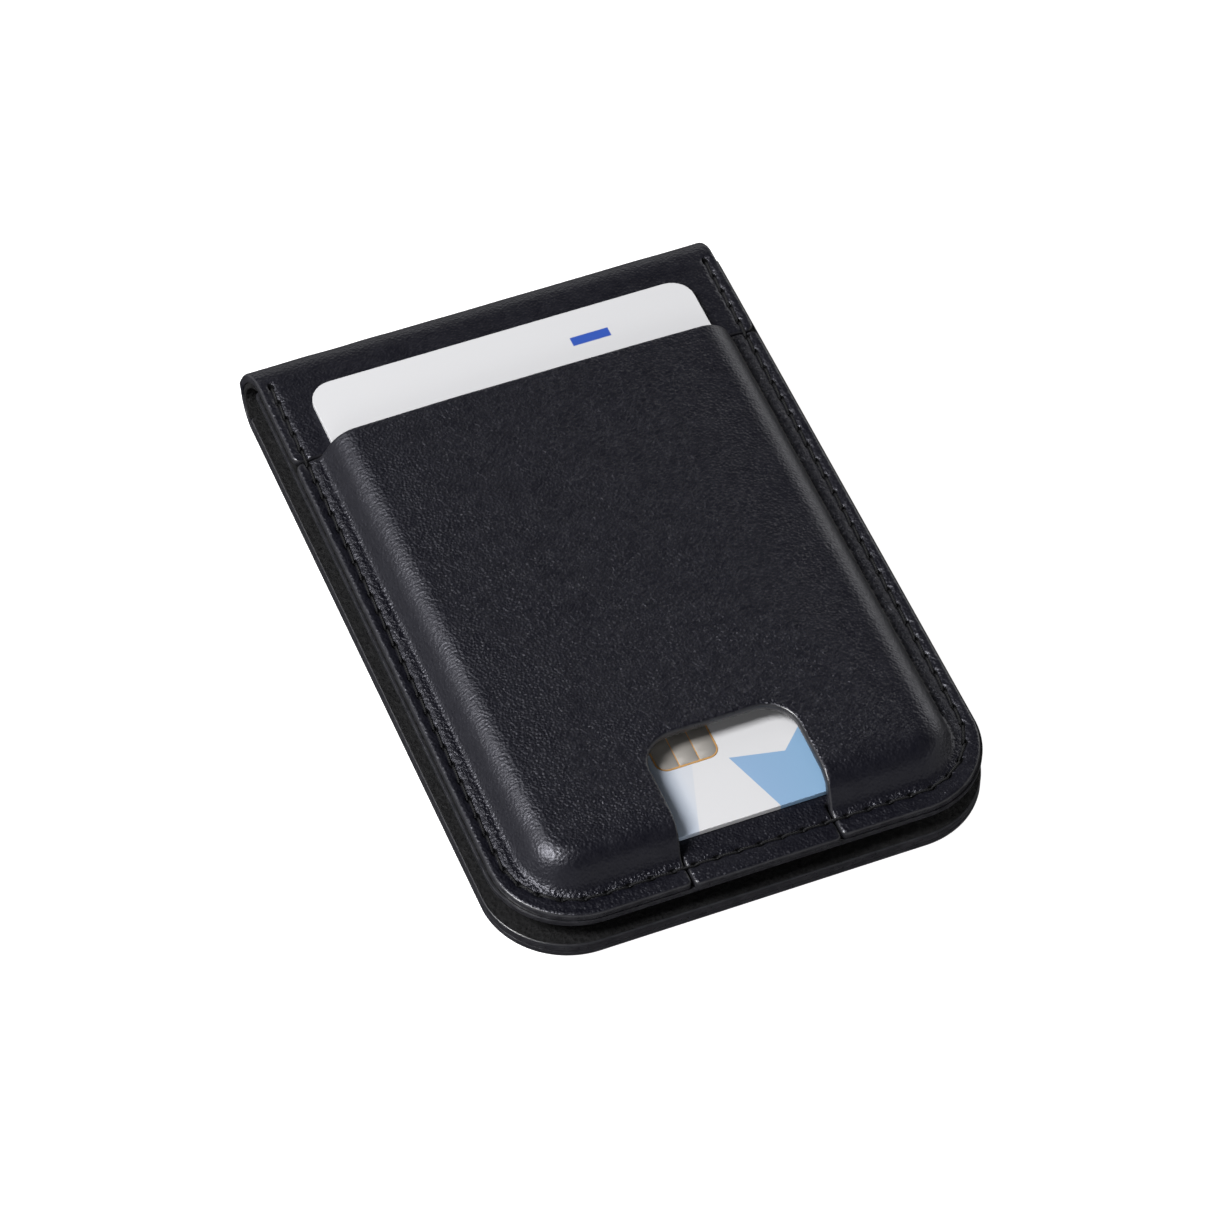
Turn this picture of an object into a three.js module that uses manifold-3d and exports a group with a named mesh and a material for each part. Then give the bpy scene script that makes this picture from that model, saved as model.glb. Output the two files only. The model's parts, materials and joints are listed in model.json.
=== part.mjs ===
// Magnetic bifold card holder in black leather, millimetres, +Z up.
// The back leaf lies flat on z = 0. A leather fold at the +Y end joins it to the front leaf,
// which carries a formed card pocket whose mouth faces the fold. X is across the holder.
import * as THREE from 'three';
import { mergeVertices } from 'three/addons/utils/BufferGeometryUtils.js';
import Module from 'manifold-3d';

const wasm = await Module();
wasm.setup();

// ---- Driving dimensions -------------------------------------------------------------------

// Leaves
const FRONT_END_Y = -49.45;        // free edge of the front leaf
const UNDER_END_Y = -49.55;
const BACK_END_Y = -50.15;         // free edge of the back leaf
const FRONT_HALF_WIDTH = 32.55;    // pocket flange and front wrap leather
const UNDER_HALF_WIDTH = 33.0;     // leather under the front leaf
const BACK_HALF_WIDTH = 33.6;      // back leaf
const FRONT_CORNER_RADIUS = 11;
const UNDER_CORNER_RADIUS = 11.4;
const BACK_CORNER_RADIUS = 12;
const BOND = 0.05;                 // glue line between stacked layers
const SEAM = 0.3;                  // gap where two leather edges meet

// Leather thicknesses
const WRAP = 1.1;                  // outer leather: pocket, wrap and fold
const UNDER = 0.85;                // leather under the front leaf
const FOLD_LINING = 0.7;
const BACK_THICKNESS = 2.4;

// Fold
const FOLD_RADIUS = 4.1;           // outside of the closed fold
const FOLD_Y = 46.05;              // centre of the fold's round
const FOLD_SEGMENTS = 12;
const CLOSED_TILT_DEG = 0.8;       // the leaves draw together towards the open end

// Formed pocket
const BOX_HALF_WIDTH = 29.1;       // at the foot of the side walls
const BOX_END_Y = -45.85;
const BOX_CORNER_RADIUS = 7;
const BOX_HEIGHT = 4.1;            // flat top above the flange
const WALL_SLOPE_DEG = 62;
const SHOULDER_RADIUS = 4.6;
const SHOULDER_STEPS = 5;
const MOUTH_Y = 31.55;             // pocket mouth, in line with the seam across the flange

// Thumb notch
const NOTCH_HALF_WIDTH = 10;
const NOTCH_TOP_Y = -29.85;
const NOTCH_CORNER_RADIUS = 4.5;

// Stitching
const STITCH_X = 30.95;
const STITCH_END_Y = -46.85;
const STITCH_START_Y = 45.15;
const STITCH_CORNER_RADIUS = 9.4;
const STITCH_STEPS = 48;
const THREAD_RADIUS = 0.2;
const GROOVE_WIDTH = 0.7;
const GROOVE_DEPTH = 0.45;

// Card, standard ID-1 size
const CARD_WIDTH = 53.98;
const CARD_LENGTH = 85.6;
const CARD_THICKNESS = 0.76;
const CARD_CORNER_RADIUS = 3.18;
const CARD_CENTRE_Y = -0.25;
const CONTACT = { width: 8.4, length: 10.6, thickness: 0.15, recess: 0.2, x: -3.6, y: -27.75, radius: 1.6 };

// Magnet array in the back leaf and shield plate in the front leaf
const RING = { y: 14.5, outer: 27, inner: 23, arcs: 16, spanDeg: 320, gap: 0.35, clearance: 0.25 };
const MAGNET_THICKNESS = 0.7;
const BAR = { width: 6, length: 18, topBelowRing: 32 };
const BOARD = { inset: 3.2, top: 43.5, thickness: 0.86 };
const SHIELD = { halfWidth: 25.5, bottom: -41.5, top: 41.5, radius: 5, thickness: 0.36 };

// ---- Levels that follow from them ---------------------------------------------------------

const FRONT_TOP = 2 * FOLD_RADIUS;
const WRAP_FLOOR = FRONT_TOP - WRAP;
const UNDER_TOP = WRAP_FLOOR - BOND;
const UNDER_FLOOR = UNDER_TOP - UNDER;
const LEAF_END = FOLD_Y - SEAM;
const FOLD_MID_RADIUS = FOLD_RADIUS - WRAP / 2;
// Two hinge lines stand in for the fold, one at mid-leather on each leaf's level. This offset
// keeps the leather's true length when the holder lies open and flat.
const HINGE_Y = FOLD_Y + FOLD_MID_RADIUS * (Math.PI / 2 - 1);
const FRONT_HINGE_Z = FRONT_TOP - WRAP / 2;
const LINING_FLOOR = WRAP + BOND;

// ---- Materials ----------------------------------------------------------------------------

const leather = new THREE.MeshStandardMaterial({ color: 0x1c1c1f, roughness: 0.55, metalness: 0 });
const suede = new THREE.MeshStandardMaterial({ color: 0x141416, roughness: 0.9, metalness: 0 });
const thread = new THREE.MeshStandardMaterial({ color: 0x0d0d0e, roughness: 0.7, metalness: 0 });
const board = new THREE.MeshStandardMaterial({ color: 0x6f6558, roughness: 0.9, metalness: 0 });
const nickel = new THREE.MeshStandardMaterial({ color: 0xb4b4b2, roughness: 0.3, metalness: 1 });
const steel = new THREE.MeshStandardMaterial({ color: 0x8f9296, roughness: 0.4, metalness: 1 });
const cardPlastic = new THREE.MeshStandardMaterial({ color: 0xeceff6, roughness: 0.35, metalness: 0 });
const contactMetal = new THREE.MeshStandardMaterial({ color: 0xc9a86a, roughness: 0.35, metalness: 1 });

// ---- Solids -------------------------------------------------------------------------------

function solidOf(geometry) {
  const bare = geometry.clone();
  bare.deleteAttribute('normal');
  bare.deleteAttribute('uv');
  const merged = mergeVertices(bare);
  return new wasm.Manifold(new wasm.Mesh({
    numProp: 3,
    vertProperties: merged.attributes.position.array,
    triVerts: new Uint32Array(merged.index.array),
  }));
}

function geometryOf(solid) {
  const mesh = solid.getMesh();
  const geometry = new THREE.BufferGeometry();
  geometry.setAttribute('position', new THREE.BufferAttribute(mesh.vertProperties, 3));
  geometry.setIndex(new THREE.BufferAttribute(mesh.triVerts, 1));
  geometry.computeVertexNormals();
  return geometry;
}

function cut(geometry, ...cutters) {
  return geometryOf(cutters.reduce((solid, cutter) => solid.subtract(solidOf(cutter)), solidOf(geometry)));
}

function plate(shape, floor, top, curveSegments = 10) {
  const geometry = new THREE.ExtrudeGeometry(shape, { depth: top - floor, bevelEnabled: false, curveSegments });
  return geometry.translate(0, 0, floor);
}

function meshOf(name, geometry, material) {
  const mesh = new THREE.Mesh(geometry, material);
  mesh.name = name;
  return mesh;
}

// ---- Outlines -----------------------------------------------------------------------------

// A leaf: square at the fold, round corners at the open end.
function leafOutline(halfWidth, foldEnd, openEnd, radius) {
  const shape = new THREE.Shape();
  shape.moveTo(halfWidth, foldEnd);
  shape.lineTo(-halfWidth, foldEnd);
  shape.absarc(-halfWidth + radius, openEnd + radius, radius, Math.PI, 1.5 * Math.PI, false);
  shape.absarc(halfWidth - radius, openEnd + radius, radius, 1.5 * Math.PI, 2 * Math.PI, false);
  shape.closePath();
  return shape;
}

function roundedRectangle(halfWidth, bottom, top, radius) {
  const shape = new THREE.Shape();
  shape.absarc(halfWidth - radius, top - radius, radius, 0, 0.5 * Math.PI, false);
  shape.absarc(-halfWidth + radius, top - radius, radius, 0.5 * Math.PI, Math.PI, false);
  shape.absarc(-halfWidth + radius, bottom + radius, radius, Math.PI, 1.5 * Math.PI, false);
  shape.absarc(halfWidth - radius, bottom + radius, radius, 1.5 * Math.PI, 2 * Math.PI, false);
  shape.closePath();
  return shape;
}

// Part of a ring about (0, centreY), from one angle to another in degrees.
function ringSector(centreY, inner, outer, fromDeg, toDeg) {
  const from = THREE.MathUtils.degToRad(fromDeg);
  const to = THREE.MathUtils.degToRad(toDeg);
  const shape = new THREE.Shape();
  shape.absarc(0, centreY, outer, from, to, false);
  shape.absarc(0, centreY, inner, to, from, true);
  shape.closePath();
  return shape;
}

// The wrap leather's front section: full width beside the fold, a tongue under the pocket that
// is the card's bed, and a tab that fills the thumb notch out to the leaf's edge.
function wrapFrontOutline(inset) {
  const shoulderY = MOUTH_Y + SEAM / 2;
  const tongueX = inset.halfWidth;
  const tongueEnd = inset.endY;
  const tabX = NOTCH_HALF_WIDTH - SEAM;
  const radius = inset.radius;
  const shape = new THREE.Shape();
  shape.moveTo(FRONT_HALF_WIDTH, LEAF_END);
  shape.lineTo(-FRONT_HALF_WIDTH, LEAF_END);
  shape.lineTo(-FRONT_HALF_WIDTH, shoulderY);
  shape.lineTo(-tongueX, shoulderY);
  shape.absarc(-tongueX + radius, tongueEnd + radius, radius, Math.PI, 1.5 * Math.PI, false);
  shape.lineTo(-tabX, tongueEnd);
  shape.lineTo(-tabX, FRONT_END_Y);
  shape.lineTo(tabX, FRONT_END_Y);
  shape.lineTo(tabX, tongueEnd);
  shape.absarc(tongueX - radius, tongueEnd + radius, radius, 1.5 * Math.PI, 2 * Math.PI, false);
  shape.lineTo(tongueX, shoulderY);
  shape.lineTo(FRONT_HALF_WIDTH, shoulderY);
  shape.closePath();
  return shape;
}

// ---- Formed pocket ------------------------------------------------------------------------

// Inset and height up the box wall: a straight root, a sloping wall and a round shoulder.
function wallProfile(root, height, shoulderRadius) {
  const slope = THREE.MathUtils.degToRad(WALL_SLOPE_DEG);
  const wallTop = height - shoulderRadius * (1 - Math.cos(slope));
  const wallRun = wallTop / Math.tan(slope);
  const profile = [{ inset: 0, z: -root }, { inset: 0, z: 0 }];
  for (let i = 0; i <= SHOULDER_STEPS; i++) {
    const turn = slope * (1 - i / SHOULDER_STEPS);
    profile.push({
      inset: wallRun + shoulderRadius * (Math.sin(slope) - Math.sin(turn)),
      z: height - shoulderRadius * (1 - Math.cos(turn)),
    });
  }
  return profile;
}

// A round-cornered block whose walls lean in up the profile, open-ended past the mouth.
function formedBox(halfWidth, endY, radius, profile) {
  const pastMouth = MOUTH_Y + 2 * BOX_CORNER_RADIUS;
  const levels = profile.length - 1;
  const outline = roundedRectangle(halfWidth, endY, pastMouth, radius);
  const box = new THREE.ExtrudeGeometry(outline, {
    depth: levels, steps: levels, bevelEnabled: false, curveSegments: 8,
  });
  const position = box.attributes.position;
  for (let i = 0; i < position.count; i++) {
    const level = profile[Math.round(position.getZ(i))];
    const coreX = THREE.MathUtils.clamp(position.getX(i), radius - halfWidth, halfWidth - radius);
    const coreY = THREE.MathUtils.clamp(position.getY(i), endY + radius, pastMouth - radius);
    const keep = 1 - level.inset / radius;
    position.setX(i, coreX + (position.getX(i) - coreX) * keep);
    position.setY(i, coreY + (position.getY(i) - coreY) * keep);
    position.setZ(i, FRONT_TOP + level.z);
  }
  return box;
}

const WALL_OFFSET = WRAP / Math.sin(THREE.MathUtils.degToRad(WALL_SLOPE_DEG));
const TONGUE = {
  halfWidth: BOX_HALF_WIDTH - WALL_OFFSET - SEAM,
  endY: BOX_END_Y + WALL_OFFSET + SEAM,
  radius: BOX_CORNER_RADIUS - WALL_OFFSET - SEAM,
};

function pocketPanel() {
  const flange = plate(
    leafOutline(FRONT_HALF_WIDTH, MOUTH_Y - SEAM / 2, FRONT_END_Y, FRONT_CORNER_RADIUS), WRAP_FLOOR, FRONT_TOP);
  const outside = formedBox(
    BOX_HALF_WIDTH, BOX_END_Y, BOX_CORNER_RADIUS, wallProfile(WRAP / 2, BOX_HEIGHT, SHOULDER_RADIUS));
  const inside = formedBox(
    BOX_HALF_WIDTH - WALL_OFFSET, BOX_END_Y + WALL_OFFSET, BOX_CORNER_RADIUS - WALL_OFFSET,
    wallProfile(2 * WRAP, BOX_HEIGHT - WRAP, SHOULDER_RADIUS - WRAP));
  const beyondMouth = new THREE.BoxGeometry(4 * BOX_HALF_WIDTH, 60, 60);
  beyondMouth.translate(0, MOUTH_Y - SEAM / 2 + 30, FRONT_TOP);
  const belowOpenEnd = FRONT_END_Y - BOX_CORNER_RADIUS;
  const notch = plate(
    roundedRectangle(NOTCH_HALF_WIDTH, belowOpenEnd, NOTCH_TOP_Y, NOTCH_CORNER_RADIUS),
    UNDER_FLOOR, FRONT_TOP + 2 * BOX_HEIGHT);
  const panel = solidOf(flange).add(solidOf(outside))
    .subtract(solidOf(inside))
    .subtract(solidOf(beyondMouth))
    .subtract(solidOf(notch))
    .subtract(solidOf(stitchGroove(FRONT_TOP)));
  return geometryOf(panel);
}

// ---- Stitching ----------------------------------------------------------------------------

// Down one side, across the open end and up the other, on one level.
function stitchPath(z) {
  const r = STITCH_CORNER_RADIUS;
  const handle = r * (4 / 3) * (Math.SQRT2 - 1);
  const at = (x, y) => new THREE.Vector3(x, y, z);
  const path = new THREE.CurvePath();
  const cornerY = STITCH_END_Y + r;
  const cornerX = STITCH_X - r;
  path.add(new THREE.LineCurve3(at(-STITCH_X, STITCH_START_Y), at(-STITCH_X, cornerY)));
  path.add(new THREE.CubicBezierCurve3(
    at(-STITCH_X, cornerY), at(-STITCH_X, cornerY - handle),
    at(-cornerX - handle, STITCH_END_Y), at(-cornerX, STITCH_END_Y)));
  path.add(new THREE.LineCurve3(at(-cornerX, STITCH_END_Y), at(cornerX, STITCH_END_Y)));
  path.add(new THREE.CubicBezierCurve3(
    at(cornerX, STITCH_END_Y), at(cornerX + handle, STITCH_END_Y),
    at(STITCH_X, cornerY - handle), at(STITCH_X, cornerY)));
  path.add(new THREE.LineCurve3(at(STITCH_X, cornerY), at(STITCH_X, STITCH_START_Y)));
  return path;
}

function alongStitch(section, z) {
  return new THREE.ExtrudeGeometry(section, {
    extrudePath: stitchPath(z), steps: STITCH_STEPS, bevelEnabled: false, curveSegments: 2,
  });
}

function stitchGroove(surface) {
  const section = new THREE.Shape();
  section.moveTo(-GROOVE_DEPTH, -GROOVE_WIDTH / 2);
  section.lineTo(GROOVE_DEPTH, -GROOVE_WIDTH / 2);
  section.lineTo(GROOVE_DEPTH, GROOVE_WIDTH / 2);
  section.lineTo(-GROOVE_DEPTH, GROOVE_WIDTH / 2);
  section.closePath();
  return alongStitch(section, surface);
}

// One run of thread lying in its groove; into is -1 below a top face and +1 above an underside.
function threadRun(surface, into) {
  const section = new THREE.Shape();
  section.absarc(0, 0, THREAD_RADIUS, 0, 2 * Math.PI, false);
  return alongStitch(section, surface + into * GROOVE_DEPTH / 2);
}

// ---- Front leaf ---------------------------------------------------------------------------

function wrapFrontSection() {
  return cut(plate(wrapFrontOutline(TONGUE), WRAP_FLOOR, FRONT_TOP), stitchGroove(FRONT_TOP));
}

function frontUndersideLeather() {
  const slab = plate(
    leafOutline(UNDER_HALF_WIDTH, LEAF_END, UNDER_END_Y, UNDER_CORNER_RADIUS), UNDER_FLOOR, UNDER_TOP);
  const recess = plate(
    roundedRectangle(SHIELD.halfWidth + SEAM, SHIELD.bottom - SEAM, SHIELD.top + SEAM, SHIELD.radius),
    UNDER_TOP - SHIELD.thickness - BOND, FRONT_TOP);
  return cut(slab, recess, stitchGroove(UNDER_FLOOR));
}

function frontShieldPlate() {
  const floor = UNDER_TOP - SHIELD.thickness;
  return plate(roundedRectangle(SHIELD.halfWidth, SHIELD.bottom, SHIELD.top, SHIELD.radius), floor, UNDER_TOP);
}

// ---- Fold ---------------------------------------------------------------------------------

// Half a tube about the fold's centre line. It widens from the front leaf to the back leaf.
function foldShell(outer, inner, frontHalfWidth) {
  const shape = new THREE.Shape();
  shape.absarc(FOLD_Y, FOLD_RADIUS, outer, -0.5 * Math.PI, 0.5 * Math.PI, false);
  shape.absarc(FOLD_Y, FOLD_RADIUS, inner, 0.5 * Math.PI, -0.5 * Math.PI, true);
  shape.closePath();
  const shell = new THREE.ExtrudeGeometry(shape, {
    depth: 2 * BACK_HALF_WIDTH, bevelEnabled: false, curveSegments: FOLD_SEGMENTS,
  });
  shell.translate(0, 0, -BACK_HALF_WIDTH);
  shell.applyMatrix4(new THREE.Matrix4().makeBasis(
    new THREE.Vector3(0, 1, 0), new THREE.Vector3(0, 0, 1), new THREE.Vector3(1, 0, 0)));
  const position = shell.attributes.position;
  for (let i = 0; i < position.count; i++) {
    const rise = position.getZ(i) / FRONT_TOP;
    position.setX(i, position.getX(i) * THREE.MathUtils.lerp(1, frontHalfWidth / BACK_HALF_WIDTH, rise));
  }
  return shell;
}

// ---- Back leaf ----------------------------------------------------------------------------

const BOARD_FLOOR = WRAP - 0.6;
const BOARD_OUTLINE = {
  halfWidth: BACK_HALF_WIDTH - BOARD.inset,
  openEnd: BACK_END_Y + BOARD.inset,
  radius: BACK_CORNER_RADIUS - BOARD.inset,
};

function boardOutline(grow) {
  return roundedRectangle(
    BOARD_OUTLINE.halfWidth + grow, BOARD_OUTLINE.openEnd - grow, BOARD.top + grow, BOARD_OUTLINE.radius);
}

function backOuterLeather() {
  const slab = plate(leafOutline(BACK_HALF_WIDTH, LEAF_END, BACK_END_Y, BACK_CORNER_RADIUS), 0, WRAP);
  return cut(slab, plate(boardOutline(SEAM), BOARD_FLOOR - BOND, 2 * WRAP));
}

function backInnerLining() {
  const slab = plate(
    leafOutline(BACK_HALF_WIDTH, LEAF_END, BACK_END_Y, BACK_CORNER_RADIUS), LINING_FLOOR, BACK_THICKNESS);
  return cut(slab, plate(boardOutline(SEAM), 0, BOARD_FLOOR + BOARD.thickness + BOND));
}

const BAR_TOP = RING.y - BAR.topBelowRing;

// The ring of magnets is open at the bottom, where the board stays whole across the gap.
const RING_START_DEG = -90 + (360 - RING.spanDeg) / 2;

function magnetBoard() {
  const top = BOARD_FLOOR + BOARD.thickness;
  const endMargin = THREE.MathUtils.radToDeg(RING.clearance / RING.inner);
  const ringSlot = ringSector(
    RING.y, RING.inner - RING.clearance, RING.outer + RING.clearance,
    RING_START_DEG - endMargin, RING_START_DEG + RING.spanDeg + endMargin);
  const barSlot = roundedRectangle(
    BAR.width / 2 + RING.clearance, BAR_TOP - BAR.length - RING.clearance, BAR_TOP + RING.clearance, 0.5);
  return cut(
    plate(boardOutline(0), BOARD_FLOOR, top),
    plate(ringSlot, 0, 2 * top, 32), plate(barSlot, 0, 2 * top));
}

function magnetArc(index) {
  const pitch = RING.spanDeg / RING.arcs;
  const halfGap = THREE.MathUtils.radToDeg(RING.gap / 2 / RING.inner);
  const from = RING_START_DEG + index * pitch + halfGap;
  const sector = ringSector(RING.y, RING.inner, RING.outer, from, from + pitch - 2 * halfGap);
  return plate(sector, BOARD_FLOOR, BOARD_FLOOR + MAGNET_THICKNESS, 3);
}

function alignmentMagnet() {
  const outline = roundedRectangle(BAR.width / 2, BAR_TOP - BAR.length, BAR_TOP, 0.5);
  return plate(outline, BOARD_FLOOR, BOARD_FLOOR + MAGNET_THICKNESS, 3);
}

// ---- Card ---------------------------------------------------------------------------------

const CARD_FLOOR = FRONT_TOP + BOND;
const CARD_TOP = CARD_FLOOR + CARD_THICKNESS;

function contactOutline(grow) {
  const halfLength = CONTACT.length / 2 + grow;
  return roundedRectangle(CONTACT.width / 2 + grow, -halfLength, halfLength, CONTACT.radius);
}

function cardBody() {
  const blank = plate(
    roundedRectangle(CARD_WIDTH / 2, -CARD_LENGTH / 2, CARD_LENGTH / 2, CARD_CORNER_RADIUS), CARD_FLOOR, CARD_TOP);
  const recess = plate(contactOutline(BOND), CARD_TOP - CONTACT.recess, 2 * CARD_TOP);
  recess.translate(CONTACT.x, CONTACT.y - CARD_CENTRE_Y, 0);
  return cut(blank, recess).translate(0, CARD_CENTRE_Y, 0);
}

function cardContactPlate() {
  const floor = CARD_TOP - CONTACT.recess + BOND / 2;
  return plate(contactOutline(0), floor, floor + CONTACT.thickness).translate(CONTACT.x, CONTACT.y, 0);
}

// ---- Assembly -----------------------------------------------------------------------------

const holder = new THREE.Group();

const backLeaf = new THREE.Group();
backLeaf.add(meshOf('back_outer_leather', backOuterLeather(), leather));
backLeaf.add(meshOf('back_inner_lining', backInnerLining(), suede));
backLeaf.add(meshOf('magnet_board', magnetBoard(), board));
for (let i = 0; i < RING.arcs; i++) {
  const number = String(i + 1).padStart(2, '0');
  backLeaf.add(meshOf(`magnet_arc_${number}`, magnetArc(i), nickel));
}
backLeaf.add(meshOf('alignment_magnet', alignmentMagnet(), nickel));
holder.add(backLeaf);

const fold = new THREE.Group();
fold.add(meshOf('fold_leather', foldShell(FOLD_RADIUS, FOLD_RADIUS - WRAP, FRONT_HALF_WIDTH), leather));
fold.add(meshOf('fold_lining', foldShell(
  FOLD_RADIUS - WRAP - BOND, FOLD_RADIUS - WRAP - BOND - FOLD_LINING, FRONT_HALF_WIDTH), suede));
holder.add(fold);

// The front leaf is drawn level, then turned about its hinge line by the closed tilt.
const frontLeaf = new THREE.Group();
frontLeaf.position.set(0, -HINGE_Y, -FRONT_HINGE_Z);
frontLeaf.add(meshOf('pocket_panel', pocketPanel(), leather));
frontLeaf.add(meshOf('wrap_front_section', wrapFrontSection(), leather));
frontLeaf.add(meshOf('front_underside_leather', frontUndersideLeather(), suede));
frontLeaf.add(meshOf('front_shield_plate', frontShieldPlate(), steel));
frontLeaf.add(meshOf('stitch_top_thread', threadRun(FRONT_TOP, -1), thread));
frontLeaf.add(meshOf('stitch_under_thread', threadRun(UNDER_FLOOR, 1), thread));
frontLeaf.add(meshOf('card_body', cardBody(), cardPlastic));
frontLeaf.add(meshOf('card_contact_plate', cardContactPlate(), contactMetal));

const frontHinge = new THREE.Group();
frontHinge.position.set(0, HINGE_Y, FRONT_HINGE_Z);
frontHinge.rotation.x = THREE.MathUtils.degToRad(CLOSED_TILT_DEG);
frontHinge.add(frontLeaf);
holder.add(frontHinge);

export default holder;
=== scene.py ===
import json
import math

import bpy
import numpy as np
from mathutils import Matrix, Vector, noise
from mathutils.geometry import delaunay_2d_cdt
from mathutils.kdtree import KDTree


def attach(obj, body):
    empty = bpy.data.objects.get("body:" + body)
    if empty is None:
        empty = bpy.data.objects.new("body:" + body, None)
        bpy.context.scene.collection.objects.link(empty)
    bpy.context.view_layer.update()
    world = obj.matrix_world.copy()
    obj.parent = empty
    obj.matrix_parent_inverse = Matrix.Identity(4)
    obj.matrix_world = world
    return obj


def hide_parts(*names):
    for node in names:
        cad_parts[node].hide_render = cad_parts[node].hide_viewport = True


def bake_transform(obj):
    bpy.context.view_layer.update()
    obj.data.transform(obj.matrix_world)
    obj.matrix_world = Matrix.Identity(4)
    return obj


# Card holder in black leather: a back leaf, a fold, and a front leaf with a formed card pocket.
# Lengths are millimetres until a mesh is made. The front leaf is drawn level and then tilted
# about its hinge line, as it lies when the holder is closed.

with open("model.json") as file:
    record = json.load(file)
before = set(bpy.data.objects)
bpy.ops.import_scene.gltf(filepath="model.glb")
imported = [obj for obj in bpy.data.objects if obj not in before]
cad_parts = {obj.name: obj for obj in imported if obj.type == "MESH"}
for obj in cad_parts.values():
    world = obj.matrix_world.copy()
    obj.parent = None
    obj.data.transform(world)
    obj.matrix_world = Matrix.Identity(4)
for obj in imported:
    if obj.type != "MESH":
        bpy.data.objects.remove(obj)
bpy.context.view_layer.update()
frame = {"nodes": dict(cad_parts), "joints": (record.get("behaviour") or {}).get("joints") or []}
MM = 0.001
nodes = frame["nodes"]
joints = {j["name"]: j for j in frame["joints"]}

# ---- Camera -------------------------------------------------------------------------------

CAMERA_PLACE = (-170.2, -406.3, 533.9)
CAMERA_AZIMUTH, CAMERA_ELEVATION, CAMERA_ROLL = -22.564, 50.495, 0.757
CAMERA_LENS, CAMERA_SENSOR = 158.9, 36


def make_camera():
    data = bpy.data.cameras.new("camera")
    data.lens, data.sensor_width = CAMERA_LENS, CAMERA_SENSOR
    camera = bpy.data.objects.new("camera", data)
    bpy.context.scene.collection.objects.link(camera)
    camera.location = Vector(CAMERA_PLACE) * MM
    turn = Matrix.Rotation(math.radians(CAMERA_AZIMUTH), 3, "Z")
    turn = turn @ Matrix.Rotation(math.radians(90 - CAMERA_ELEVATION), 3, "X")
    turn = turn @ Matrix.Rotation(math.radians(CAMERA_ROLL), 3, "Z")
    camera.rotation_euler = turn.to_euler()
    bpy.context.scene.camera = camera


make_camera()

# ---- Sizes from the frame -----------------------------------------------------------------

slide_axis = joints["card_slide"]["axis"]
TILT = math.atan2(slide_axis[2], slide_axis[1])
HINGE = np.array(joints["front_fold_hinge"]["pos_m"]) / MM


def tilted(points, share=1.0):
    """Turns level points of the front leaf about its hinge line by a share of the closed tilt."""
    angle = TILT * np.asarray(share)
    y, z = points[:, 1] - HINGE[1], points[:, 2] - HINGE[2]
    return np.column_stack([
        points[:, 0],
        HINGE[1] + y * np.cos(angle) - z * np.sin(angle),
        HINGE[2] + y * np.sin(angle) + z * np.cos(angle)])


def size(node, level=False):
    """Lowest and highest corner of a CAD node, in millimetres; level undoes the closed tilt."""
    points = np.array([v.co for v in nodes[node].data.vertices], float) / MM
    if level:
        points = tilted(points, -1)
    return points.min(0), points.max(0)


back_low, back_high = size("back_outer_leather")
lining_low, lining_high = size("back_inner_lining")
fold_low, fold_high = size("fold_leather")
fold_lining_low = size("fold_lining")[0]
flange_low, flange_high = size("pocket_panel", level=True)
wrap_low, wrap_high = size("wrap_front_section", level=True)
under_low, under_high = size("front_underside_leather", level=True)
shield_low, shield_high = size("front_shield_plate", level=True)
board_low, board_high = size("magnet_board")
card_low, card_high = size("card_body", level=True)
chip_low, chip_high = size("card_contact_plate", level=True)
thread_low, thread_high = size("stitch_top_thread", level=True)

# The leaves don't close exactly in line, so the back leaf here lies a little off the CAD one.
BACK_NARROWER, BACK_LONGER, BACK_SHIFT = 0.35, 0.2, -0.6
BACK_HALF = back_high[0] - BACK_NARROWER
BACK_END = back_low[1] - BACK_LONGER
WRAP = back_high[2]                      # outer leather thickness
FOLD_R = (fold_high[2] - fold_low[2]) / 2
FOLD_Y = fold_high[1] - FOLD_R
FOLD_MID = FOLD_R - WRAP / 2
QUARTER = FOLD_MID * math.pi / 2
APEX = FOLD_Y + QUARTER                  # strip length at which the fold's outermost line lies
FRONT_TOP = wrap_high[2]
FRONT_FLOOR = FRONT_TOP - WRAP
FRONT_HALF = flange_high[0]
FRONT_END = flange_low[1]
MOUTH = flange_high[1]
BOX_HEIGHT = flange_high[2] - FRONT_TOP
UNDER_HALF, UNDER_END = under_high[0], under_low[1]
UNDER_FLOOR, UNDER_TOP = under_low[2], under_high[2]
THREAD_RADIUS = 0.2
STITCH_X = thread_high[0] - THREAD_RADIUS
STITCH_END = thread_low[1] + THREAD_RADIUS
STITCH_START = thread_high[1]

# ---- Shape of the soft detail -------------------------------------------------------------

FRONT_RADIUS, UNDER_RADIUS, BACK_RADIUS = 11, 11.4, 11.4
MOUTH_RADIUS, TAB_RADIUS, BED_RADIUS = 1.1, 0.7, 0.4
SEAM = 0.22                              # gap where two cut edges meet
BOX_HALF, BOX_END_GAP, BOX_RADIUS = 29.55, 3.15, 7.4
BOX_END = FRONT_END + BOX_END_GAP
FOOT_RADIUS, SHOULDER_RADIUS, WALL_SLOPE = 0.9, 4.2, math.radians(56)
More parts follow.
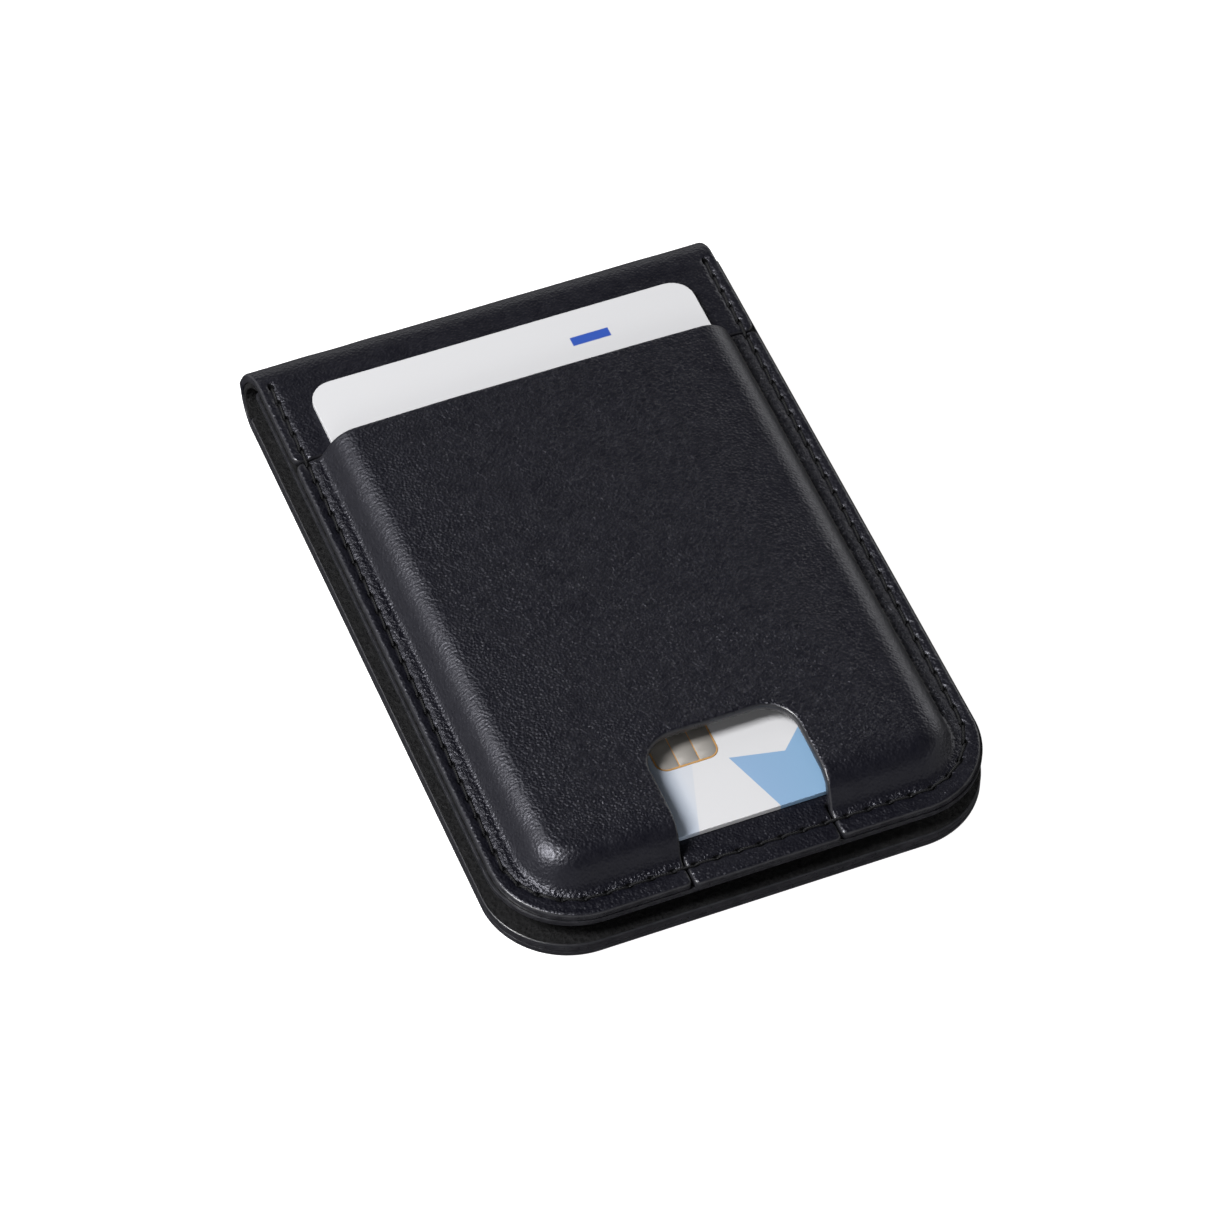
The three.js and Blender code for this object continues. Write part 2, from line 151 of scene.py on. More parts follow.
# The right-hand wall stands steeper, on a tighter foot that starts further in.
STEEP_FOOT, STEEP_START, STEEP_SLOPE = 0.4, 0.5, math.radians(73)
CROWN, CROWN_ROOM = 0.22, 0.15           # the box's top bulges, and some height is left for that
WALL_HEIGHT = BOX_HEIGHT - CROWN_ROOM
NOTCH_HALF, NOTCH_TOP, NOTCH_RADIUS = 10.0, -29.85, 4.5
NOTCH_LEAN = 0.5
TAB_PROUD = 0.35                         # the tab in the notch stands out past the pocket's end
FOLD_REACH = 1.15                        # the fold bulges a little past its radius
STITCH_RADIUS, STITCH_PITCH = 9.4, 2.9
HOLE_RADIUS, HOLE_LENGTHENING, HOLE_DEPTH = 0.27, 1.6, 0.6
HOLE_EDGE = 0.12                         # in_hole above this takes the stitch holes' material, which is painted shade
GROOVE_WIDTH, GROOVE_DEPTH = 0.42, 0.27
CREASE_AT, CREASE_DEPTH, CREASE_WIDTH = 0.95, 0.05, 0.13

# Beds for the plates inside the leaves: room round a plate and above it, and corner radii.
BED_MARGIN, BED_GAP = 0.3, 0.05
BOARD_RADIUS, SHIELD_RADIUS = 8.8, 5

# Steps between mesh points: along an outline, along the rows beside the stitches, and across
# and along the strip where it bends.
FINE_STEP, COARSE_STEP = 0.42, 0.5
ROW_STEP = 0.5
BEND_STEPS = (1.4, 0.35)
# How far mesh points keep off an edge's inner ring, the stitch line and a sharp corner.
RING_CLEAR, STITCH_CLEAR, SHARP_CLEAR = 0.22, 1.3, 0.56

# An edge is a list of (distance in from the cut, drop below the face).
ROUND_EDGE = ((0, .46), (.03, .31), (.1, .17), (.21, .07), (.36, .015), (.52, 0))
SMALL_EDGE = ((0, .16), (.02, .09), (.07, .03), (.16, 0), (.4, 0))
TINY_EDGE = ((0, .07), (.02, .02), (.08, 0), (.3, 0))


# ---- Outlines -----------------------------------------------------------------------------

def rounded(corners, step):
    """Corners are (x, y, radius), counter-clockwise. Arcs and straight runs are cut into steps.

    The stretch beside a sharp corner stays uncut, so that the insets of an edge don't cross."""
    arcs = []
    for i, (x, y, radius) in enumerate(corners):
        corner = np.array([x, y], float)
        before = np.array(corners[i - 1][:2], float) - corner
        after = np.array(corners[(i + 1) % len(corners)][:2], float) - corner
        before /= np.linalg.norm(before)
        after /= np.linalg.norm(after)
        if radius <= 0:
            arcs.append([corner])
            continue
        half = math.acos(np.clip(before @ after, -1, 1)) / 2
        middle = (before + after) / np.linalg.norm(before + after)
        centre = corner + middle * radius / math.sin(half)
        start = corner + before * radius / math.tan(half) - centre
        end = corner + after * radius / math.tan(half) - centre
        first = math.atan2(start[1], start[0])
        sweep = (math.atan2(end[1], end[0]) - first + math.pi) % (2 * math.pi) - math.pi
        count = max(4, math.ceil(abs(sweep) * radius / step))
        angles = first + sweep * np.arange(count + 1) / count
        arcs.append([centre + radius * np.array([math.cos(a), math.sin(a)]) for a in angles])
    points = []
    for i, arc in enumerate(arcs):
        points += arc
        gap = arcs[(i + 1) % len(arcs)][0] - arc[-1]
        pieces = max(1, round(np.linalg.norm(gap) / step))
        points += [arc[-1] + gap * k / pieces for k in range(1, pieces)]
    points = np.array(points)
    for x, y, radius in corners:
        if radius <= 0:
            away = np.hypot(*(points - (x, y)).T)
            points = points[(away == 0) | (away > SHARP_CLEAR)]
    return points


def inward(outline):
    """For each point, the way in that keeps every edge the same distance away."""
    ahead = np.roll(outline, -1, 0) - outline
    ahead /= np.linalg.norm(ahead, axis=1)[:, None]
    normal = np.column_stack([-ahead[:, 1], ahead[:, 0]])
    previous = np.roll(normal, 1, 0)
    share = 1 + (normal * previous).sum(1)
    return (normal + previous) / np.maximum(share, 0.3)[:, None]


def depth_inside(x, y, half_width, end_y, radius):
    """Distance inside a leaf: straight sides, round corners at the open end, open at the fold."""
    across = np.abs(x) - (half_width - radius)
    along = (end_y + radius) - y
    outside = np.hypot(np.maximum(across, 0), np.maximum(along, 0))
    return radius - outside - np.minimum(np.maximum(across, along), 0)


def is_inside(points, outline):
    """Even-odd test of many points against one outline."""
    inside = np.zeros(len(points), bool)
    x, y = points.T
    for (x0, y0), (x1, y1) in zip(outline, np.roll(outline, -1, 0)):
        if y0 != y1:
            crosses = (y0 > y) != (y1 > y)
            inside ^= crosses & (x < (x1 - x0) * (y - y0) / (y1 - y0) + x0)
    return inside


def thinned(points, keep_off, gap):
    """The points that are at least a gap away from every point of keep_off."""
    tree = KDTree(len(keep_off))
    for i, (x, y) in enumerate(keep_off):
        tree.insert((x, y, 0), i)
    tree.balance()
    far = [tree.find((x, y, 0))[2] > gap for x, y in points]
    return points[np.array(far, bool)]


def lattice(low, high, step_x, step_y=None):
    """Rows of points, every other row shifted by half a step."""
    step_y = step_y or step_x * math.sqrt(3) / 2
    rows = []
    for i, y in enumerate(np.arange(low[1], high[1], step_y)):
        x = np.arange(low[0] + (i % 2) * step_x / 2, high[0], step_x)
        rows.append(np.column_stack([x, np.full(len(x), y)]))
    return np.concatenate(rows)


# ---- Meshes -------------------------------------------------------------------------------

def make_object(name, points, faces, materials, material_index=None, attributes=None, sharp=38):
    mesh = bpy.data.meshes.new(name)
    mesh.from_pydata((np.asarray(points) * MM).tolist(), [], faces)
    for material in materials:
        mesh.materials.append(material)
    if material_index is not None:
        mesh.polygons.foreach_set("material_index", np.asarray(material_index, np.int32))
    for label, values in (attributes or {}).items():
        attribute = mesh.attributes.new(label, "FLOAT", "POINT")
        attribute.data.foreach_set("value", np.asarray(values, np.float32))
    mesh.polygons.foreach_set("use_smooth", np.ones(len(faces), bool))
    mesh.set_sharp_from_angle(angle=math.radians(sharp))
    mesh.update()
    item = bpy.data.objects.new(name, mesh)
    bpy.context.scene.collection.objects.link(item)
    return item


def filled(ring, inner):
    """Triangles that fill a ring through its inner points, as indices into ring, then inner."""
    points = np.concatenate([ring, inner]) if len(inner) else ring
    made = delaunay_2d_cdt([Vector(p) for p in points], [], [list(range(len(ring)))], 1, 1e-5)
    index = [source[0] for source in made[3]]
    faces = []
    for face in made[2]:
        a, b, c = (index[i] for i in face)
        turn = np.cross(points[b] - points[a], points[c] - points[a])
        faces.append((a, b, c) if turn > 0 else (a, c, b))
    return faces


def slab(name, outline, top, bottom, materials, place, edge=ROUND_EDGE, low_edge=SMALL_EDGE,
         inner=(), low_inner=(), lip=None, painted=0.3, zones=None, sharp=38):
    """A closed sheet between two height functions, with rounded cut edges.

    place puts flat points where they lie; lip scales the rounding; faces nearer to the cut than
    painted take the second material, unless lip leaves them square; those in a stitch hole take
    the third, if there is one; zones gives point attributes from flat x and y."""
    way_in = inward(outline)
    scale = lip or (lambda x, y: np.ones(len(x)))
    flats, insets = [], []
    for inset, drop in reversed(edge):
        xy = outline + way_in * inset
        z = top(*xy.T) - drop * scale(*xy.T)
        flats.append(np.column_stack([xy, z]))
        insets.append(inset)
    for inset, rise in low_edge:
        xy = outline + way_in * inset
        z = bottom(*xy.T) + rise * scale(*xy.T)
        flats.append(np.column_stack([xy, z]))
        insets.append(inset)
    count, faces, index = len(outline), [], []
    for i in range(len(flats) - 1):
        worn = int(max(insets[i], insets[i + 1]) <= painted)
        for k in range(count):
            after = (k + 1) % count
            faces.append((i * count + k, (i + 1) * count + k,
                          (i + 1) * count + after, i * count + after))
            index.append(worn)
    offset = len(flats) * count
    for ring_number, height, wanted, flip in (
            (0, top, inner, False), (len(flats) - 1, bottom, low_inner, True)):
        ring = flats[ring_number][:, :2]
        wanted = np.array(wanted, float).reshape(-1, 2)
        if len(wanted):
            wanted = wanted[is_inside(wanted, ring)]
            between = (ring + np.roll(ring, -1, 0)) / 2
            wanted = thinned(wanted, np.concatenate([ring, between]), RING_CLEAR)
            flats.append(np.column_stack([wanted, height(*wanted.T)]))
        for face in filled(ring, wanted):
            face = [ring_number * count + i if i < count else offset + i - count for i in face]
            faces.append(tuple(reversed(face)) if flip else tuple(face))
            index.append(0)
        offset += len(wanted)
    flat = np.concatenate(flats)
    middles = np.array([flat[list(face)].mean(0) for face in faces])
    index = np.where(scale(*middles[:, :2].T) > 0.3, index, 0)
    # Faces in a stitch hole take the third material, which paints the holes' shade.
    if len(materials) > 2:
        index = np.where(in_hole(middles[:, 0], middles[:, 1]) > HOLE_EDGE, 2, index)
    attributes = zones(flat[:, 0], flat[:, 1]) if zones else None
    return make_object(name, place(flat), faces, materials, index, attributes, sharp)


# ---- Where flat leather lies --------------------------------------------------------------

def rolled(flat, upper):
    """Rolls the strip's end round the fold: strip length becomes an angle past FOLD_Y."""
    x, along, z = flat.T
    turn = np.clip((along - FOLD_Y) / FOLD_MID, 0, None)
    sign = 1 if upper else -1
    radius = sign * (z - FOLD_R)
    y = np.where(turn > 0, FOLD_Y + FOLD_REACH * radius * np.sin(turn), along)
    return np.column_stack([x, y, FOLD_R + sign * radius * np.cos(turn)]), turn


def notch_lean(flat):
    """The notch leans a little to one side as it climbs the box wall."""
    rise = np.clip((flat[:, 2] - FRONT_TOP) / WALL_HEIGHT, 0, 1)
    near = np.clip(1.6 - np.hypot(flat[:, 0] / 16, (flat[:, 1] + 40) / 22), 0, 1)
    leaned = flat.copy()
    leaned[:, 0] += NOTCH_LEAN * rise * near
    return leaned


def pocket_place(flat):
    return front_place(notch_lean(flat))


def front_place(flat):
    points, turn = rolled(flat, True)
    share = np.clip(1 - turn / (math.pi / 2), 0, 1)
    share = share * share * (3 - 2 * share)
    points[:, 0] += BACK_SHIFT * (1 - share)
    return tilted(points, share)


def back_place(flat):
    points = rolled(flat, False)[0]
    points[:, 0] += BACK_SHIFT
    return points


def hide_lip_at_apex(x, y):
    """0 where the strip's two halves meet, so that no rounded edge shows there."""
    return np.clip((APEX - 0.53 - y) / 0.5, 0, 1)


# ---- Stitching ----------------------------------------------------------------------------

def stitch_line(distance):
    """Point and direction on the stitch line, by distance from its start beside the fold."""
    radius = STITCH_RADIUS
    side = STITCH_START - (STITCH_END + radius)
    arc = radius * math.pi / 2
    end = 2 * (STITCH_X - radius)
    if distance < side:
        return (-STITCH_X, STITCH_START - distance), (0, -1)
    distance -= side
    if distance < arc:
        a = math.pi + distance / radius
        return ((-STITCH_X + radius + radius * math.cos(a), STITCH_END + radius + radius * math.sin(a)),
                (-math.sin(a), math.cos(a)))
    distance -= arc
    if distance < end:
        return (-STITCH_X + radius + distance, STITCH_END), (1, 0)
    distance -= end
    if distance < arc:
        a = 1.5 * math.pi + distance / radius
        return ((STITCH_X - radius + radius * math.cos(a), STITCH_END + radius + radius * math.sin(a)),
                (-math.sin(a), math.cos(a)))
    distance -= arc
    return (STITCH_X, STITCH_END + radius + distance), (0, 1)


STITCH_LENGTH = 2 * (STITCH_START - STITCH_END - STITCH_RADIUS) + \
    STITCH_RADIUS * math.pi + 2 * (STITCH_X - STITCH_RADIUS)
STITCHES = round(STITCH_LENGTH / STITCH_PITCH)
stitch_marks = [stitch_line(STITCH_LENGTH * i / STITCHES * 0.99999) for i in range(STITCHES + 1)]


def in_hole(x, y):
    """1 in the middle of a stitch hole, 0 away from it."""
    near = np.full(len(x), 1e3)
    for (hx, hy), (dx, dy) in stitch_marks:
        along, across = (x - hx) * dx + (y - hy) * dy, (y - hy) * dx - (x - hx) * dy
        near = np.minimum(near, np.hypot(along / HOLE_LENGTHENING, across))
    return np.exp(-(near / HOLE_RADIUS) ** 2)


def stitch_dip(x, y):
    """How far the tight thread pulls the leather down: a soft groove with a hole at each stitch."""
    line = np.abs(depth_inside(x, y, STITCH_X, STITCH_END, STITCH_RADIUS))
    groove = GROOVE_DEPTH * np.exp(-(line / GROOVE_WIDTH) ** 2)
    groove *= np.clip((STITCH_START + 0.6 - y) / 0.8, 0, 1)
    return groove + HOLE_DEPTH * in_hole(x, y)


def hole_points(keep):
    """Small rings of mesh points round the holes that keep(x, y) chooses."""
    points = []
    for (hx, hy), (dx, dy) in stitch_marks:
        if keep(hx, hy):
            points.append((hx, hy))
            for radius, count in ((0.11, 6), (0.22, 9), (0.34, 12), (0.48, 14)):
                for k in range(count):
                    a = 2 * math.pi * (k + radius) / count
                    along, across = HOLE_LENGTHENING * radius * math.cos(a), radius * math.sin(a)
                    points.append((hx + along * dx - across * dy, hy + along * dy + across * dx))
    return np.array(points)


def beside_stitches(step):
    """Rows of mesh points along the stitch line."""
    rows = []
    for offset in (-1.0, -0.62, -0.3, 0, 0.3, 0.62, 1.0):
        for distance in np.arange(0, STITCH_LENGTH, step):
            (x, y), (dx, dy) = stitch_line(distance)
            rows.append((x - dy * offset, y + dx * offset))
    return np.array(rows)


# ---- Formed pocket ------------------------------------------------------------------------

def wall_height(depth, foot, shoulder, slope=WALL_SLOPE):
    """Height up the box wall: a hollow foot, a straight slope, a round shoulder."""
    sine, cosine = math.sin(slope), math.cos(slope)
    slope_start, slope_low = foot * sine, foot * (1 - cosine)
    slope_high = WALL_HEIGHT - shoulder * (1 - cosine)
    slope_end = slope_start + (slope_high - slope_low) / math.tan(slope)
    crest = slope_end + shoulder * sine
    d = np.clip(depth, 0, crest)
    low = foot - np.sqrt(np.maximum(foot ** 2 - np.minimum(d, slope_start) ** 2, 0))
    middle = slope_low + (d - slope_start) * math.tan(slope)
    past = np.minimum(crest - d, shoulder)
    high = WALL_HEIGHT - shoulder + np.sqrt(np.maximum(shoulder ** 2 - past ** 2, 0))
    return np.where(d < slope_start, low, np.where(d < slope_end, middle, high))


def box_depth(x, y):
    return depth_inside(x, y, BOX_HALF, BOX_END, BOX_RADIUS)


def crown(x, y):
    across = np.maximum(BOX_HALF - 3 - np.abs(x), 0) / 6
    along = np.maximum(y - BOX_END - 3, 0) / 6
    return CROWN * (1 - np.exp(-across ** 2)) * (1 - np.exp(-along ** 2))


def unevenness(x, y, scale, amount):
    values = [noise.noise(Vector((a * scale, b * scale, 3.7))) for a, b in zip(x, y)]
    return amount * np.array(values)


def pocket_top(x, y):
    d = box_depth(x, y)
    steep = np.clip((x - BOX_HALF + 9) / 5, 0, 1) * np.clip((y - BOX_END - 3) / 7, 0, 1)
    gentle = wall_height(d, FOOT_RADIUS, SHOULDER_RADIUS)
    upright = wall_height(d - STEEP_START, STEEP_FOOT, SHOULDER_RADIUS, STEEP_SLOPE)
    rise = gentle + steep * (upright - gentle)
    rise += crown(x, y)
    rise += unevenness(x, y, 0.11, 0.1) * np.clip(d / 4, 0, 1)
    edge = depth_inside(x, y, FRONT_HALF, FRONT_END, FRONT_RADIUS)
    crease = CREASE_DEPTH * np.exp(-((edge - CREASE_AT) / CREASE_WIDTH) ** 2)
    return FRONT_TOP + rise - crease - stitch_dip(x, y)


def pocket_bottom(x, y):
    rise = wall_height(box_depth(x, y), FOOT_RADIUS + WRAP, SHOULDER_RADIUS - WRAP)
    return FRONT_FLOOR + rise + crown(x, y)


def box_rings(step, spacing):
    """Mesh points on lines that follow the box wall, open past the mouth."""
    rings = []
    for depth in np.arange(-0.9, 6.3, spacing):
        half, radius = BOX_HALF - depth, max(BOX_RADIUS - depth, 0.3)
        rings.append(rounded([
            (half, MOUTH + 9, 0), (-half, MOUTH + 9, 0),
            (-half, BOX_END + depth, radius), (half, BOX_END + depth, radius)], step))
    return np.concatenate(rings)


def leaf(half, fold_end, end, radius, step, fold_radius=0):
    return rounded([(half, fold_end, fold_radius), (-half, fold_end, fold_radius),
                    (-half, end, radius), (half, end, radius)], step)


def pocket_outline(step):
    return rounded([
        (FRONT_HALF, MOUTH, MOUTH_RADIUS), (-FRONT_HALF, MOUTH, MOUTH_RADIUS),
        (-FRONT_HALF, FRONT_END, FRONT_RADIUS), (-NOTCH_HALF, FRONT_END, TAB_RADIUS),
        (-NOTCH_HALF, NOTCH_TOP, NOTCH_RADIUS), (NOTCH_HALF, NOTCH_TOP, NOTCH_RADIUS),
        (NOTCH_HALF, FRONT_END, TAB_RADIUS), (FRONT_HALF, FRONT_END, FRONT_RADIUS)], step)


def pocket_zones(x, y):
    """Stretched and pulled on the box walls, partly stretched and crinkled on the flange."""
    d = box_depth(x, y)
    line = depth_inside(x, y, STITCH_X, STITCH_END, STITCH_RADIUS)
    stretch = np.clip(d / 1.2, 0, 1) * np.clip((6.5 - d) / 3, 0, 1)
    return {
        "stretch": np.maximum(stretch, np.clip(-d, 0, 0.6)),
        "pulled": stretch * np.clip((y - BOX_END - 7) / 6, 0, 1),
        "crinkle": np.clip((line + 0.4) / 0.5, 0, 1) * np.clip((0.3 - d) / 0.8, 0, 1)}


def in_notch(x, y):
    return abs(x) < NOTCH_HALF and y < NOTCH_TOP


def crease_rings(half, end, radius, top):
    """Mesh points along the shallow crease beside the painted edge."""
    return np.concatenate([
        leaf(half - inset, top, end + inset, radius - inset, 0.6) for inset in (0.8, 0.95, 1.1)])


def off_stitches(points, clear):
    """The points further than clear from the stitch line."""
    line = np.abs(depth_inside(*points.T, STITCH_X, STITCH_END, STITCH_RADIUS))
    return points[line > clear]


def make_pocket(leather, paint, pit):
    outline = pocket_outline(FINE_STEP)
    low, high = (-FRONT_HALF, FRONT_END), (FRONT_HALF, MOUTH)
    rings = box_rings(0.6, 0.3)
    holes = hole_points(lambda x, y: y < MOUTH and not in_notch(x, y))
    rows = thinned(beside_stitches(ROW_STEP), holes, 0.16)
    open_field = off_stitches(lattice(low, high, 1.0), STITCH_CLEAR)
    depth = box_depth(*open_field.T)
    open_field = open_field[(depth < -1.2) | (depth > 6.6)]
    rings = off_stitches(rings, 1.15)
    crease = crease_rings(FRONT_HALF, FRONT_END, FRONT_RADIUS, MOUTH)
    crease = thinned(crease, rows, 0.2)
    inner = np.concatenate([holes, rows, rings, open_field, crease])
    underneath = np.concatenate([box_rings(1.2, 0.45), open_field[::3]])
    piece = slab("pocket_leather", outline, pocket_top, pocket_bottom, [leather, paint, pit],
                 pocket_place, inner=inner, low_inner=underneath, zones=pocket_zones)
    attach(piece, "front_leaf")
    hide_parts("pocket_panel")


# ---- Outer wrap leather -------------------------------------------------------------------

def wrap_outline(step):
    """The strip's front part: shoulders, the card's bed under the pocket, the tab in the notch."""
    wide = (FRONT_HALF + BACK_HALF) / 2
    shoulder = MOUTH + SEAM
    offset = WRAP / math.sin(WALL_SLOPE) + 0.75
    bed, bed_end = BOX_HALF - offset, BOX_END + offset
    tab, tab_end = NOTCH_HALF - SEAM, FRONT_END - TAB_PROUD
    return rounded([
        (wide, APEX, 0), (-wide, APEX, 0), (-FRONT_HALF, FOLD_Y, 0),
        (-FRONT_HALF, shoulder, MOUTH_RADIUS), (-bed, shoulder, BED_RADIUS),
        (-bed, bed_end, BOX_RADIUS - offset), (-tab, bed_end, BED_RADIUS),
        (-tab, tab_end, TAB_RADIUS), (tab, tab_end, TAB_RADIUS), (tab, bed_end, BED_RADIUS),
        (bed, bed_end, BOX_RADIUS - offset), (bed, shoulder, BED_RADIUS),
        (FRONT_HALF, shoulder, MOUTH_RADIUS), (FRONT_HALF, FOLD_Y, 0)], step)


def wrap_top(x, y):
    edge = np.minimum(FRONT_HALF - np.abs(x), y - (FRONT_END - TAB_PROUD))
    crease = CREASE_DEPTH * np.exp(-((edge - CREASE_AT) / CREASE_WIDTH) ** 2)
    crease *= np.clip((FOLD_Y + 1 - y) / 2, 0, 1)
    dip = np.where((y > MOUTH) | (y < BOX_END), stitch_dip(x, y), 0)
    return np.full(len(x), FRONT_TOP) + unevenness(x, y, 0.16, 0.06) - crease - dip


def wrap_bottom(x, y):
    return np.full(len(x), FRONT_FLOOR)


def fold_rows(half):
    """Mesh points close enough along the strip for the bend round the fold."""
    return lattice((-half, FOLD_Y - 1.5), (half, APEX), *BEND_STEPS)


def make_wrap(leather, paint, pit):
    outline = wrap_outline(FINE_STEP)
    holes = hole_points(lambda x, y: y > MOUTH or in_notch(x, y))
    rows = beside_stitches(ROW_STEP)
    rows = rows[(rows[:, 1] > MOUTH + 0.8) | (np.abs(rows[:, 0]) < NOTCH_HALF - 0.8)]
    rows = thinned(rows, holes, 0.16)
    field = lattice((-FRONT_HALF, FRONT_END - TAB_PROUD), (FRONT_HALF, FOLD_Y - 1.7), 1.4)
    field = off_stitches(field, STITCH_CLEAR)
    bend = fold_rows(FRONT_HALF + 0.5)
    inner = np.concatenate([holes, rows, field, bend])
    piece = slab("wrap_leather_front", outline, wrap_top, wrap_bottom, [leather, paint, pit],
                 front_place, inner=inner, low_inner=np.concatenate([field[::4], bend]),
                 lip=hide_lip_at_apex,
                 zones=lambda x, y: {"stretch": np.full(len(x), 0.45)})
    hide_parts("wrap_front_section", "fold_leather")
    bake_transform(piece)


def recessed(face, bed, low, high, radius):
    """A flat face, sunk to the height of a bed where a plate lies inside the leaf."""
    def height(x, y):
        inside = depth_inside(x, y, high[0] + BED_MARGIN, low[1] - BED_MARGIN,
                              radius + BED_MARGIN) > 0
        return np.where(inside & (y < high[1] + BED_MARGIN), bed, face)
    return height


def bed_points(low, high, radius):
    """Two close lines of mesh points round a sunk bed."""
    lines = []
    for gap in (BED_MARGIN - 0.04, BED_MARGIN + 0.04):
        half, end = high[0] + gap, low[1] - gap
        lines.append(rounded([(half, high[1] + gap, 0), (-half, high[1] + gap, 0),
                              (-half, end, radius + gap), (half, end, radius + gap)], 1.0))
    return np.concatenate(lines)


def make_back(leather, paint):
    wide = (FRONT_HALF + BACK_HALF) / 2
    outline = rounded([
        (wide, APEX, 0), (-wide, APEX, 0), (-BACK_HALF, FOLD_Y, 0),
        (-BACK_HALF, BACK_END, BACK_RADIUS), (BACK_HALF, BACK_END, BACK_RADIUS),
        (BACK_HALF, FOLD_Y, 0)], COARSE_STEP)
    field = lattice((-BACK_HALF, BACK_END), (BACK_HALF, FOLD_Y - 1.7), 2.4)
    bend = fold_rows(BACK_HALF)
    upper = recessed(WRAP, board_low[2] - BED_GAP, board_low, board_high, BOARD_RADIUS)
    piece = slab("wrap_leather_back", outline, upper, lambda x, y: np.zeros(len(x)), [leather, paint],
                 back_place, edge=TINY_EDGE, low_edge=ROUND_EDGE,
                 inner=np.concatenate([bed_points(board_low, board_high, BOARD_RADIUS), bend]),
                 low_inner=np.concatenate([field, bend]), lip=hide_lip_at_apex)
    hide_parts("back_outer_leather")
    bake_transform(piece)


# ---- Linings and the leather under the front leaf -----------------------------------------

LINING_START, LINING_RADIUS = FOLD_Y - 0.3, 0.6      # the linings' square ends beside the fold
SLIT_PLACES, SLIT_HALF, SLIT_DEPTH = (9.4, 18.6), 0.09, 0.5


def make_under(suede, paint):
    """The second layer in the front leaf's edge, nicked twice at the open end."""
    end = UNDER_END
    corners = [(UNDER_HALF, LINING_START, LINING_RADIUS), (-UNDER_HALF, LINING_START, LINING_RADIUS),
               (-UNDER_HALF, end, UNDER_RADIUS)]
    for x in SLIT_PLACES:
        corners += [(x - SLIT_HALF, end, 0), (x, end + SLIT_DEPTH, 0), (x + SLIT_HALF, end, 0)]
    corners.append((UNDER_HALF, end, UNDER_RADIUS))
    outline = rounded(corners, FINE_STEP)
    upper = recessed(UNDER_TOP, shield_low[2] - BED_GAP, shield_low, shield_high, SHIELD_RADIUS)
    field = off_stitches(lattice((-UNDER_HALF, end), (UNDER_HALF, FOLD_Y), 2.4), STITCH_CLEAR)

    def lower(x, y):
        return np.full(len(x), UNDER_FLOOR) + stitch_dip(x, y) * 0.8

    holes = hole_points(lambda x, y: True)
    rows = thinned(beside_stitches(0.7), holes, 0.2)
    piece = slab("front_under_leather", outline, upper, lower, [suede, paint], front_place,
                 edge=TINY_EDGE, low_edge=SMALL_EDGE,
                 inner=bed_points(shield_low, shield_high, SHIELD_RADIUS),
                 low_inner=np.concatenate([holes, rows, field]))
    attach(piece, "front_leaf")
    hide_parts("front_underside_leather")


def make_back_lining(suede, paint):
    low, high = lining_low[2], lining_high[2]
    outline = leaf(BACK_HALF, LINING_START, BACK_END, BACK_RADIUS, COARSE_STEP, LINING_RADIUS)
    lower = recessed(low, board_high[2] + BED_GAP, board_low, board_high, BOARD_RADIUS)
    field = lattice((-BACK_HALF, BACK_END), (BACK_HALF, FOLD_Y), 1.6)

    def upper(x, y):
        return np.full(len(x), high) + unevenness(x, y, 0.3, 0.04)

    piece = slab("back_lining", outline, upper, lower, [suede, paint], back_place,
                 edge=SMALL_EDGE, low_edge=TINY_EDGE, inner=field,
                 low_inner=bed_points(board_low, board_high, BOARD_RADIUS))
    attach(piece, "back_leaf")
    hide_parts("back_inner_lining")


LINING_INSET, LINING_THICKNESS = 0.15, 0.7


def make_fold_lining(name, upper_half, suede):
    """Half of the lining that follows the inside of the fold."""
    wide = (FRONT_HALF + BACK_HALF) / 2 - LINING_INSET
    end_half = (FRONT_HALF if upper_half else BACK_HALF) - LINING_INSET
    near, far = fold_lining_low[2], fold_lining_low[2] + LINING_THICKNESS
    if upper_half:
        near, far = 2 * FOLD_R - far, 2 * FOLD_R - near
    outline = rounded([(wide, APEX, 0), (-wide, APEX, 0), (-end_half, FOLD_Y, 0),
                       (-end_half, FOLD_Y - 0.1, 0), (end_half, FOLD_Y - 0.1, 0),
                       (end_half, FOLD_Y, 0)], 0.4)
    bend = lattice((-wide, FOLD_Y), (wide, APEX), *BEND_STEPS)
    piece = slab(name, outline, lambda x, y: np.full(len(x), far), lambda x, y: np.full(len(x), near),
                 [suede], front_place if upper_half else back_place, edge=TINY_EDGE[:3],
                 low_edge=TINY_EDGE[:3], inner=bend, low_inner=bend, lip=hide_lip_at_apex, painted=-1)
    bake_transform(piece)
    return piece


def make_fold_linings(suede):
    upper = make_fold_lining("fold_lining_front", True, suede)
    make_fold_lining("fold_lining_back", False, suede)
    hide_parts("fold_lining")


# ---- Thread -------------------------------------------------------------------------------

THREAD_SINK = 0.24                       # the thread's middle lies this far below the leather
THREAD_SLANT = 0.1
THREAD_SIDES = 8
# Height of the thread's middle line, by share of a stitch.
STITCH_PROFILE = ((0.0, -0.42), (0.05, -0.2), (0.12, -0.06), (0.25, 0.0), (0.5, 0.02),
                  (0.75, 0.0), (0.88, -0.06), (0.95, -0.2), (1.0, -0.42))


